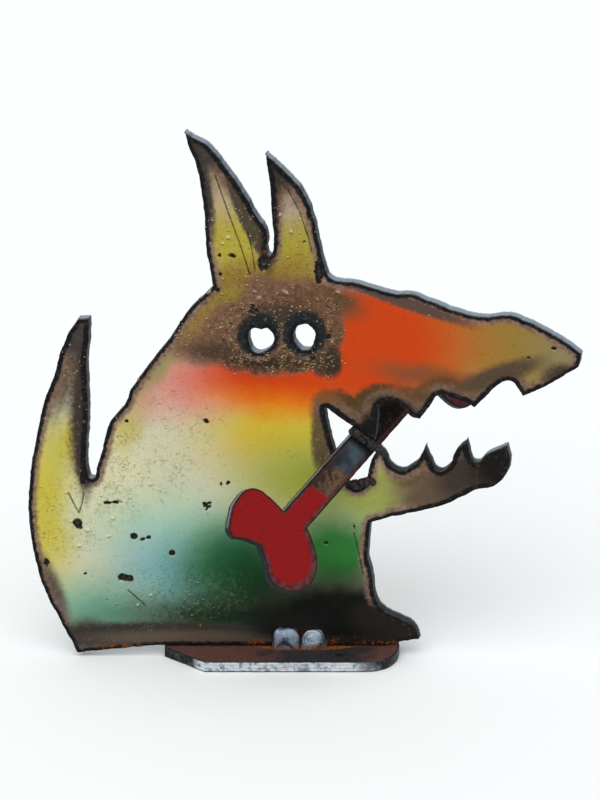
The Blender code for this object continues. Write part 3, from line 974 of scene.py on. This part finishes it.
# %% Grit and flaking paint
def roughened(finish, paint, place):
    """Grit where spatter stuck, and cracked flakes over the rump. Gives the relief of the flakes."""
    grit, speck, spatter = finish.patches(*GRIT), finish.patches(*SPECK), finish.carried("spatter")
    paint.lay("2f211a", grit.step(0.50, 0.62) * spatter * 0.85)
    paint.lay("b39470", grit.step(0.43, 0.34) * spatter * 0.45)
    paint.lay("33261b", speck.step(0.54, 0.66) * (spatter * 0.9 + 0.12))
    paint.lay("d2b27c", speck.step(0.40, 0.30) * spatter * 0.5)
    crust = finish.patches(5.5, 4.0, 0.6)
    flaking = finish.patches(7, 3.0).step(0.46, 0.60) * finish.cloud(place, *CRUSTED) * 0.75
    cracks = crust.step(0.470, 0.485) * crust.step(0.515, 0.495) * flaking
    flakes = crust.step(0.500, 0.515) * crust.step(0.570, 0.530) * flaking
    paint.lay("e6dcb0", flakes * 0.40)
    paint.lay("4a3a28", cracks * 0.55)
    return flakes * 0.2 - cracks * 0.3


# %% [markdown]
# Over the clouds come the things that the heat did. Paint never reached the cut: there is a black line of
# scale, then a band of bare brown steel with a ragged border, and smoke beyond it. Where the cut turned
# back and forth, as round the mouth, the heat went deeper. Near the foot rust has crept along the bottom
# edge.

# %% Smoke, bare steel, scorches, scale and rust
# From the rim inwards, in mm: where each band has ended, and where it is still full
SMOKE_BAND = (11.0, 6.0)
BARE_BAND = (8.6, 5.6)
SCALE_BAND = (4.5, 3.0)
BORDER = 5.0


def burnt(finish, paint, place):
    """What the heat did, from the cut inwards. Gives how bare and how scaled the steel is."""
    edge, grit = finish.carried("edge"), finish.patches(*GRIT)
    mottle, speck = finish.patches(*MOTTLE), finish.patches(*SPECK)
    ragged = finish.patches(3.2, 4.0, 0.6)
    heat = sum(finish.cloud(place, *hot, 0.3) for hot in HOT)
    smoke = (edge - heat * 5.0 + ragged * BORDER).step(*SMOKE_BAND)
    paint.lay("4d3a20", smoke * heat * (grit.step(0.3, 0.6) * 0.4 + 0.4))
    bared = (edge - heat * 2.4 + ragged * BORDER).step(*BARE_BAND)
    bare = finish.over("584339", "927467", mottle.step(0.3, 0.7))
    paint.lay(finish.over(bare, "5d4a39", heat.step(0.1, 1.2) * 0.6), bared * 0.9)
    shaky = shaken(finish, 3, 3.5)
    covering = grit.step(0.30, 0.46) * 0.45 + 0.55
    for name, shade, *oval in SCORCHES:
        paint.lay(shade, finish.cloud(shaky, name, *oval) * covering)
    scale = (edge - heat * 0.8 + ragged * 3.2).step(*SCALE_BAND)
    paint.lay(finish.over("131518", "3a302a", mottle.step(0.5, 0.7)), scale)
    rusty = sum(finish.cloud(shaky, *spot, 0.2) for spot in RUSTED)
    rust = finish.over("47260f", "96501d", speck.step(0.44, 0.64))
    paint.lay(rust, rusty * mottle.step(0.42, 0.58) * 0.9)
    return bared, scale


# %% [markdown]
# The scars' own distances darken them just where the mesh is dented: black in a pit, dark along a scratch.
# What stands out went paler: crumbs where they were rubbed, and flakes partly by their own paler paint and
# partly by a painted highlight. Last, the paint gets a painted shade wherever the surface looks down and a
# painted light where it looks up.

# %% Pits, scratches, flakes, crumbs, and painted shade and light
# Where the flakes went brown with heat, round the eyes
BROWNED = ("browned", (0, 205), (60, 34), 0, 0.7)
# From this height to this, in metres, the crumbs turn from green to gold
CRUMBS_TURN = (0.06, 0.11)


def marked(finish, paint, place):
    """Dark marks, pale lumps, and painted shade and light by which way the surface looks.
    Gives how dark the marks are.
    """
    mottle, speck, scar = finish.patches(*MOTTLE), finish.patches(*SPECK), finish.carried("scar")
    pitted = (scar + finish.patches(2.3, 3.0, 0.55) * 2.8).step(1.65, 1.15)
    lined = (finish.carried("scratch") + mottle * 1.1).step(0.90, 0.45)
    dark = 1 - (1 - pitted) * (1 - lined * 0.75)
    paint.lay(finish.over("171617", "4b4341", (speck + scar * -0.07).step(0.56, 0.76)), dark)
    # Flakes are tinted pale: partly their own paler paint, partly a painted highlight
    flake_colour_and_highlight = finish.over("e2d9a6", "ab8a76", finish.cloud(place, *BROWNED))
    paint.lay(flake_colour_and_highlight, (finish.carried("flake") + speck).step(0.75, 1.15) * 0.3)
    upper, crumb = finish.part(finish.place, "Z").step(*CRUMBS_TURN), finish.carried("crumb")
    paint.lay("d9c08a", crumb * upper * 0.28)
    paint.lay("76883a", crumb * (1 - upper) * 0.25)
    # Painted shade where the surface looks down, painted light where it looks up
    facing_for_painted_light = finish.upward()
    paint.lay("2a2119", facing_for_painted_light.step(-0.10, -0.55) * 0.65)
    paint.lay("dfc9a0", facing_for_painted_light.step(0.12, 0.6) * (1 - dark * 0.9) * 0.33)
    return dark


# %% Painted steel
def painted_steel():
    """The dog's paint over its whole face, and the bare cut of its walls."""
    finish = Finish("sprayed_steel")
    place = shaken(finish, 12, 9)
    paint = Coats(finish, PRIMER)
    sprayed(finish, paint, place)
    relief = roughened(finish, paint, place)
    bared, scale = burnt(finish, paint, place)
    dark = marked(finish, paint, place)
    soot = 1 - (1 - finish.cloud(place, *MOUTH_SOOT)) * (1 - finish.cloud(place, *TOE_SOOT))
    steel = cut_steel(finish, soot=soot)
    rough = 0.44 + finish.patches(6) * 0.12 + (1 - (1 - bared) * (1 - dark)) * 0.16
    grain = finish.patches(0.7, 3.0, 0.6) * 0.12 + finish.patches(*MOTTLE) * 0.16
    grain = grain + finish.patches(*SPECK) * finish.carried("spatter") * 0.35 + relief
    return joined(finish, (paint.shade, rough, grain, scale * 0.15), (*steel, (1 - soot) * 0.5), 0.7, 0.07)


dog.data.materials.append(painted_steel())

# %% [markdown]
# ## The bone's finish
#
# The near end is dipped in crimson, which stops raggedly on the shaft. Then comes brown, heat-stained
# steel, bare blue steel up to the weld, and the far half is painted black, for soot and for a painted
# shadow, until the red of the other end. The pattern runs along the bone, so each place is first measured
# along and across it, from the bone's middle.

# %% Crimson and heat-stained steel
BONE_MIDDLE = Vector((42.16, 0, 128.7))
# Along the bone, in mm: where the red stops, and where blue steel, black soot with a painted shadow, and
# the far red begin
RED_STOPS = (-33.5, -31.0)
BLUE_STEEL = (-14.5, -11.5)
SOOT_AND_PAINTED_SHADOW = (3.0, 9.0)
FAR_RED = (56.0, 59.0)


def bone_finish():
    """Crimson, brown, blue steel, then black for soot and painted shadow, one after another along the bone.
    """
    finish = Finish("crimson_steel")
    edge = finish.carried("edge")
    along, across = [finish.vectors("DOT_PRODUCT", finish.place, axis, "Value") * TO_MM
                     - BONE_MIDDLE.dot(axis) for axis in (BONE_ALONG, BONE_UP)]
    ragged = finish.patches(3.0, 4.0, 0.65)
    at = along + across * 0.35 + ragged * 7
    fine = finish.patches(0.9, 3.0, 0.6)
    red = finish.over("8a1114", "6e1013", fine.step(0.42, 0.7))
    red = finish.over(red, "b8625c", finish.patches(1.5, 4.0, 0.7).step(0.34, 0.24) * 0.7)
    brown = finish.over("6b5140", "3a2b22", (ragged + across * 0.02).step(0.36, 0.66))
    steel = finish.over("282f35", "55616c", finish.patches(16, 3.0).step(0.32, 0.66))
    # Black for the far half: soot, and a painted shadow where the snout shades it
    soot = finish.over("1a1614", "3a2d20", ragged.step(0.5, 0.7))
    paint = Coats(finish, red)
    for above, begins in ((brown, RED_STOPS), (steel, BLUE_STEEL), (soot, SOOT_AND_PAINTED_SHADOW), (red, FAR_RED)):
        paint.lay(above, at.step(*begins))
    rim = (edge + ragged * 3.2 + across * 0.09).step(4.8, 3.0)
    paint.lay(finish.over("3a1c1e", "553a3c", ragged.step(0.35, 0.65)), rim * 0.85)
    paint.lay("1f1918", (edge + ragged * 0.8).step(1.5, 0.9) * 0.85)
    bare = at.step(*RED_STOPS) * at.step(*FAR_RED[::-1])
    wall = cut_steel(finish, "585156", "2f2b2e", (0.2, 0.7), line=(0.22, 0.56))
    face = (paint.shade, 0.36 + ragged * 0.14, fine * 0.08, bare * 0.45)
    return joined(finish, face, (*wall, 0.6), 0.6, 0.1)


bone.data.materials.append(bone_finish())

# %% [markdown]
# ## The foot's finish
#
# Flat bar comes with a skin of mill scale, here maroon where old primer is left and dark grey where it wore
# off. Orange rust runs along the line where the dog stands on it, and the front edge is ground bright.

# %% Scaled and rusted bar
# The rust that spreads round the welds
FOOT_RUST = ("round_welds", (12, 6), (38, 30), 0, 0.3)
# In mm: where the primer is worn off, where the bright edge ends, how near the front it starts, and how far
# from the dog the rust creeps
WORN_FROM, WORN_TO = (14, 34), (86, 64)
BRIGHT_ENDS, GROUND = (68.0, 48.0), (20.0, 24.5)
RUST_REACH = (8.8, 6.8)


def foot_finish():
    """Old primer, scale and rust on top of the foot, and a ground front edge."""
    finish = Finish("scaled_bar")
    where, back = [finish.part(finish.place, axis) * TO_MM for axis in "XY"]
    blot = finish.patches(9, 4.0, 0.62)
    fine = finish.patches(1.1, 4.0, 0.7)
    primer = finish.over("6f4c45", "4c3634", fine.step(0.38, 0.66))
    scale = finish.over("2c2b2b", "45444a", fine.step(0.42, 0.70))
    worn = (where + blot * 60).step(*WORN_FROM) * (where + blot * 50).step(*WORN_TO)
    bar = Coats(finish, finish.over(primer, scale, worn))
    near_welds = finish.cloud(finish.place, *FOOT_RUST)
    creep = finish.maths("ABSOLUTE", back) - near_welds * 6.0 + fine * 6.0 + blot * 5.0
    creep = creep.step(*RUST_REACH)
    bar.lay(finish.over("5a2e14", "b0611f", fine.step(0.4, 0.62)), creep * 0.9)
    bar.lay("151313", (finish.carried("scar") + fine * 0.6).step(0.7, 0.2))
    bar.lay("1c1a1a", (finish.carried("edge") + blot * 2.0).step(1.9, 1.1) * 0.8)
    steel, wall_rough, lines = cut_steel(finish, "dfe5ea", "b3bcc4", (-0.9, -0.3))
    ground = (blot * 4.0 - back).step(*GROUND)
    scuffed = finish.patches(4, 5.0, 0.75).step(0.47, 0.62)
    chipped = (finish.patches(5, 3.0, 0.6) + finish.carried("depth") * 0.12).step(0.44, 0.36)
    bright = ground * (where + blot * 20.0).step(*BRIGHT_ENDS)
    wall = Coats(finish, finish.over(finish.over("26292a", "4e5558", scuffed), steel, bright))
    wall.lay("4d5a68", scuffed * 0.75 * ground)
    wall.lay("26282b", chipped * 0.9)
    face = (bar.shade, 0.48 + blot * 0.2 + creep * 0.25, fine * 0.10 + creep * fine * 0.25, (1 - creep) * 0.2)
    return joined(finish, face, (wall.shade, wall_rough, lines, 0.7), 0.7, 0.1)


foot.data.materials.append(foot_finish())

# %% [markdown]
# ## Crumbs of spatter
#
# Hot drops flew off the cut and stuck, mostly round the eyes, and the paint went over them. More than a
# thousand small lumps at random are work for Geometry Nodes: scatter points over the dog as thickly as
# `spatter` says, put a small uneven lump on each, and give each a number of its own for its tint.

# %% A tree of geometry nodes
class Recipe(Nodes):
    """A Geometry Nodes tree with named inputs. given holds their sockets."""

    def __init__(self, name, kinds):
        self.tree = bpy.data.node_groups.new(name, "GeometryNodeTree")
        self.tree.interface.new_socket("Geometry", in_out="OUTPUT", socket_type="NodeSocketGeometry")
        for label, kind in kinds.items():
            self.tree.interface.new_socket(label, in_out="INPUT", socket_type="NodeSocket" + kind)
        source = self.tree.nodes.new("NodeGroupInput")
        self.given = {label: Amount(self, source.outputs[label]) for label in kinds}
        self.result = self.tree.nodes.new("NodeGroupOutput").inputs[0]

    def drawn(self, low, high, seed):
        """A number, or three of them, drawn for each point."""
        kind, sockets, out = ("FLOAT", (2, 3), 1) if isinstance(low, float) else ("FLOAT_VECTOR", (0, 1), 0)
        values = {sockets[0]: low, sockets[1]: high, "Seed": seed}
        return self.node("FunctionNodeRandomValue", {"data_type": kind}, values, out)

    def spread(self, value, low, high):
        """A number from 0 to 1, spread from low to high."""
        return self.node("ShaderNodeMapRange", {}, {"Value": value, "To Min": low, "To Max": high})

    def stored(self, geometry, name, value):
        """Geometry whose points carry a number for the material."""
        return self.node("GeometryNodeStoreNamedAttribute", {"data_type": "FLOAT", "domain": "POINT"},
                         {"Geometry": geometry, "Name": name, "Value": value})

    def finish(self, geometry):
        """Ends the tree: real geometry with its material."""
        real = self.node("GeometryNodeRealizeInstances", {}, {"Geometry": geometry})
        coated = self.node("GeometryNodeSetMaterial", {}, {
            "Geometry": real, "Material": self.given["Material"]})
        self.tree.links.new(coated.output, self.result)

    def make(self, name, start, values):
        """Runs the tree on a copy of a mesh and returns the result as a plain object."""
        worker = placed(name + "_recipe", start.copy())
        modifier = worker.modifiers.new("recipe", "NODES")
        modifier.node_group = self.tree
        for item in self.tree.interface.items_tree:
            if item.in_out == "INPUT" and item.name in values:
                modifier[item.identifier] = values[item.name]
        bpy.context.view_layer.update()
        evaluated = worker.evaluated_get(bpy.context.evaluated_depsgraph_get())
        mesh = bpy.data.meshes.new_from_object(evaluated)
        mesh.name = name
        mesh.shade_smooth()
        bpy.data.objects.remove(worker)
        print(name, "has", len(mesh.polygons), "faces")
        return placed(name, mesh)


# %% The crumbs' tree
def crumb_tree():
    """Uneven lumps, each laid on the plate and with a number of its own."""
    tree = Recipe("crumbs_of_spatter", {
        "Plate": "Geometry", "Most for each square metre": "Float", "Clusters in a metre": "Float",
        "Smallest": "Float", "Largest": "Float", "Seed": "Int", "Material": "Material"})
    given = tree.given
    thickness = tree.node("GeometryNodeInputNamedAttribute", {"data_type": "FLOAT"}, {"Name": "spatter"})
    patchy = tree.node("ShaderNodeTexNoise", {}, {"Scale": given["Clusters in a metre"], "Detail": 2.0})
    cluster = tree.node("ShaderNodeMapRange", {}, {"Value": patchy, "From Min": 0.42, "From Max": 0.62})
    density = thickness * cluster * given["Most for each square metre"]
    scatter = tree.node("GeometryNodeDistributePointsOnFaces", {"distribute_method": "RANDOM"},
                        {"Mesh": given["Plate"], "Density": density, "Seed": given["Seed"]})
    outwards = Amount(tree, scatter.output.node.outputs["Rotation"])
    tinted = tree.stored(scatter, "crumb", tree.drawn(0.0, 1.0, 5))
    lump = tree.node("GeometryNodeMeshIcoSphere", {}, {"Radius": 1.0, "Subdivisions": 1})
    spin = tree.node("FunctionNodeEulerToRotation", {}, {
        "Euler": tree.drawn((-0.4, -0.4, 0.0), (0.4, 0.4, math.tau), 2)})
    turned = tree.node("FunctionNodeRotateRotation", {"rotation_space": "LOCAL"},
                       {"Rotation": outwards, "Rotate By": spin})
    radius = tree.spread(tree.drawn(0.0, 1.0, 3) ** 2.5, given["Smallest"], given["Largest"])
    size = tree.vectors("MULTIPLY", tree.drawn((0.9, 0.5, 0.35), (1.6, 1.0, 0.7), 4), radius)
    tree.finish(tree.node("GeometryNodeInstanceOnPoints", {}, {
        "Points": tinted, "Instance": lump, "Rotation": turned, "Scale": size}))
    return tree


# %% Scatter them
crumbs = crumb_tree().make("spatter_crumbs", dog.data, {
    "Most for each square metre": 860000.0, "Clusters in a metre": 130.0, "Smallest": 0.18 * MM,
    "Largest": 0.95 * MM, "Seed": 4, "Material": dog.data.materials[0]})

# %% [markdown]
# ## Weld lumps
#
# A weld freezes in rings round the last place that was molten. One tree makes them all: a ball is squared
# off to a chosen degree, stretched to the lump's size, rippled in rings round its crater, roughened, and
# pressed flat where it sits on the foot and against the dog.

# %% The weld's tree
def weld_tree():
    """A ball that is made into a lump of weld."""
    tree = Recipe("weld_lump", {
        "Start": "Geometry", "Middle": "Vector", "Half size": "Vector", "Squareness": "Float",
        "Crater": "Vector", "Ring spacing": "Float", "Ring height": "Float", "Roughness": "Float",
        "Lump size": "Float", "Lowest": "Vector", "Highest": "Vector", "Material": "Material"})
    given = tree.given
    ball = tree.node("GeometryNodeMeshUVSphere", {}, {"Segments": 72, "Rings": 44, "Radius": 1.0})
    unit = tree.node("GeometryNodeInputPosition")
    powered = tree.vectors("POWER", tree.vectors("ABSOLUTE", unit), given["Squareness"])
    total = tree.vectors("DOT_PRODUCT", powered, (1.0, 1.0, 1.0), "Value")
    squared = tree.scaled(unit, total ** (-1.0 / given["Squareness"]))
    stretched = tree.vectors("MULTIPLY", squared, given["Half size"])
    apart = tree.vectors("DISTANCE", stretched, given["Crater"], "Value")
    wave = tree.maths("SINE", apart / given["Ring spacing"] * math.tau)
    lumpy = tree.node("ShaderNodeTexNoise", {}, {
        "Vector": tree.vectors("DIVIDE", stretched, given["Lump size"]), "Scale": 1.0, "Detail": 3.0})
    push = wave * given["Ring height"] + (lumpy - 0.7) * given["Roughness"]
    shaped = tree.vectors("ADD", tree.vectors("ADD", stretched, tree.scaled(unit, push)), given["Middle"])
    pressed = tree.vectors("MINIMUM", tree.vectors("MAXIMUM", shaped, given["Lowest"]), given["Highest"])
    moulded = tree.node("GeometryNodeSetPosition", {}, {"Geometry": ball, "Position": pressed})
    tree.finish(tree.stored(tree.stored(moulded, "ring", wave), "apart", apart))
    return tree


weld_recipe = weld_tree()


# %% Weld metal
# In mm: the rust's upper border on a weld
LOW_ON_WELD = (13.2, 10.4)


def weld_metal(name, pale, deep, rust_from, crater):
    """Ringed metal, rusty low down and in its crater. rust_from is a share of noise, crater is in mm."""
    finish = Finish(name)
    fine = finish.patches(1.3, 4.0, 0.6)
    blot = finish.patches(3.5, 3.0, 0.6)
    shade = finish.over(deep, pale, (finish.carried("ring") * 0.30 + fine).step(0.20, 0.72))
    low = (finish.part(finish.place, "Z") * TO_MM + blot * 7.0).step(*LOW_ON_WELD)
    middle = (finish.carried("apart") * TO_MM + fine * 2.0).step(crater + 1.0, crater)
    stained = 1 - (1 - blot.step(rust_from, rust_from + 0.1)) * (1 - low) * (1 - middle)
    shade = finish.over(shade, finish.over("5a3416", "a8672a", fine), stained * 0.8)
    return finish.done(shade, 0.34 + fine * 0.3, 0.75 + fine * 0.1 - stained * 0.5, fine * 0.3, 0.8)


bright = weld_metal("weld_metal", "8e9bab", "343a45", 0.62, 0.5)
starred = weld_metal("starred_weld", "9da9b6", "343d47", 0.62, 3.0)
sooty = weld_metal("sooty_weld", "3c3a3a", "0f0e0e", 0.66, 0.0)

# %% Put down the welds
FOOT_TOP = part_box("base_plate")[1].z / MM
DOG_FRONT, DOG_BACK = [corner.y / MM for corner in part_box("dog_plate")]
# In mm: how deep a lump sinks into what it sits on, and a limit that none reaches
SUNK = 0.4
OPEN = 1000.0
RING_HEIGHT = 0.26
LUMP_SIZE = 4.0


def metres(place):
    """A place or size in mm, in metres."""
    return [x * MM for x in place]


def weld(name, node, middle, half, squareness, crater, spacing, low, high, metal, rough=0.9):
    """One lump in place of a solid one, pressed flat at its low and high limits. Sizes are in mm."""
    made = weld_recipe.make(name, bpy.data.meshes.new(name + "_start"), {
        "Middle": metres(middle), "Half size": metres(half), "Squareness": squareness,
        "Crater": metres(crater), "Ring spacing": spacing * MM, "Ring height": RING_HEIGHT * MM,
        "Roughness": rough * MM, "Lump size": LUMP_SIZE * MM, "Lowest": metres(low),
        "Highest": metres(high), "Material": metal})
    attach(made, "root")
    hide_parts(node)


in_front = {"low": (-OPEN, -OPEN, FOOT_TOP - SUNK), "high": (OPEN, DOG_FRONT + SUNK, OPEN)}
behind = {"low": (-OPEN, DOG_BACK - SUNK, FOOT_TOP - SUNK), "high": (OPEN, OPEN, OPEN)}
weld("left_weld", "weld_front_left", (2.4, DOG_FRONT, FOOT_TOP), (8.2, 5.0, 12.4), 4.5, (1, -4, 6), 2.1,
     metal=bright, rough=1.6, **in_front)
weld("right_weld", "weld_front_right", (18.4, DOG_FRONT, FOOT_TOP), (8.0, 4.8, 11.4), 2.4, (-1, -5, 6), 2.0,
     metal=starred, rough=1.6, **in_front)
weld("rear_weld", "weld_back", (10.0, DOG_BACK, FOOT_TOP), (17.0, 4.6, 5.6), 2.6, (9, 4, 2), 2.0,
     metal=bright, **behind)

# %% [markdown]
# ## Strings of slag
#
# The weld in the mouth was laid in a hurry: a black string of frozen drops, not a lump. A second tree sets
# drops of random size along a line, strays them to the sides and roughens the whole. The slag that was left
# at the bottom of the gap under the bone and below the fang is made with it too.

# %% The string's tree
def string_tree():
    """Drops along a line, joined into one rough string."""
    tree = Recipe("string_of_drops", {
        "Start": "Geometry", "From": "Vector", "To": "Vector", "Drops": "Int", "Smallest": "Float",
        "Largest": "Float", "Stray": "Vector", "Seed": "Int", "Material": "Material"})
    given = tree.given
    spots = tree.node("GeometryNodeMeshLine", {"mode": "END_POINTS"}, {
        "Count": given["Drops"], "Start Location": given["From"], "Offset": given["To"]})
    swing = tree.drawn((-1.0, -1.0, -1.0), (1.0, 1.0, 1.0), given["Seed"])
    strayed = tree.node("GeometryNodeSetPosition", {}, {
        "Geometry": spots, "Offset": tree.vectors("MULTIPLY", swing, given["Stray"])})
    drop = tree.node("GeometryNodeMeshIcoSphere", {}, {"Radius": 1.0, "Subdivisions": 2})
    girth = tree.spread(tree.drawn(0.0, 1.0, 8), given["Smallest"], given["Largest"])
    drops = tree.node("GeometryNodeInstanceOnPoints", {}, {
        "Points": strayed, "Instance": drop, "Scale": girth})
    frozen = tree.node("GeometryNodeRealizeInstances", {}, {"Geometry": drops})
    dents = tree.node("ShaderNodeTexNoise", {}, {"Scale": 420.0, "Detail": 2.0})
    push = tree.scaled(tree.node("GeometryNodeInputNormal"), (dents - 0.5) * given["Largest"])
    tree.finish(tree.node("GeometryNodeSetPosition", {}, {"Geometry": frozen, "Offset": push}))
    return tree


string_recipe = string_tree()


# %% Lay the strings
def string(name, start, end, drops, sizes, stray, seed):
    """A string of drops from one place on the dog to another. Places and sizes are in mm."""
    made = string_recipe.make(name, bpy.data.meshes.new(name + "_start"), {
        "From": metres(start), "To": metres(end), "Drops": drops, "Smallest": sizes[0] * MM,
        "Largest": sizes[1] * MM, "Stray": metres(stray), "Seed": seed, "Material": sooty})
    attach(made, "root")
    return made


mouth_bead = string("mouth_bead", (40.8, -2.5, 141.4), (53.4, -2.5, 132.2), 34, (1.2, 3.0),
                    (1.3, 3.6, 1.6), 3)
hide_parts("weld_mouth")
string("gap_slag", (41.0, -3.0, 108.6), (52.6, -3.0, 110.8), 34, (1.1, 2.3), (0.8, 1.4, 1.2), 5)
string("tooth_slag", (53.4, -3.0, 132.6), (59.6, -3.0, 125.4), 16, (0.8, 2.0), (0.8, 1.6, 0.8), 5)

# %% [markdown]
# ## The pieces together
#
# Every piece rides on the one rigid body, and the new plates stand in for the solid ones.

# %% Ride and replace
for piece, node in ((dog, "dog_plate"), (bone, "bone"), (foot, "base_plate")):
    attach(piece, "root")
    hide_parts(node)
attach(crumbs, "root")
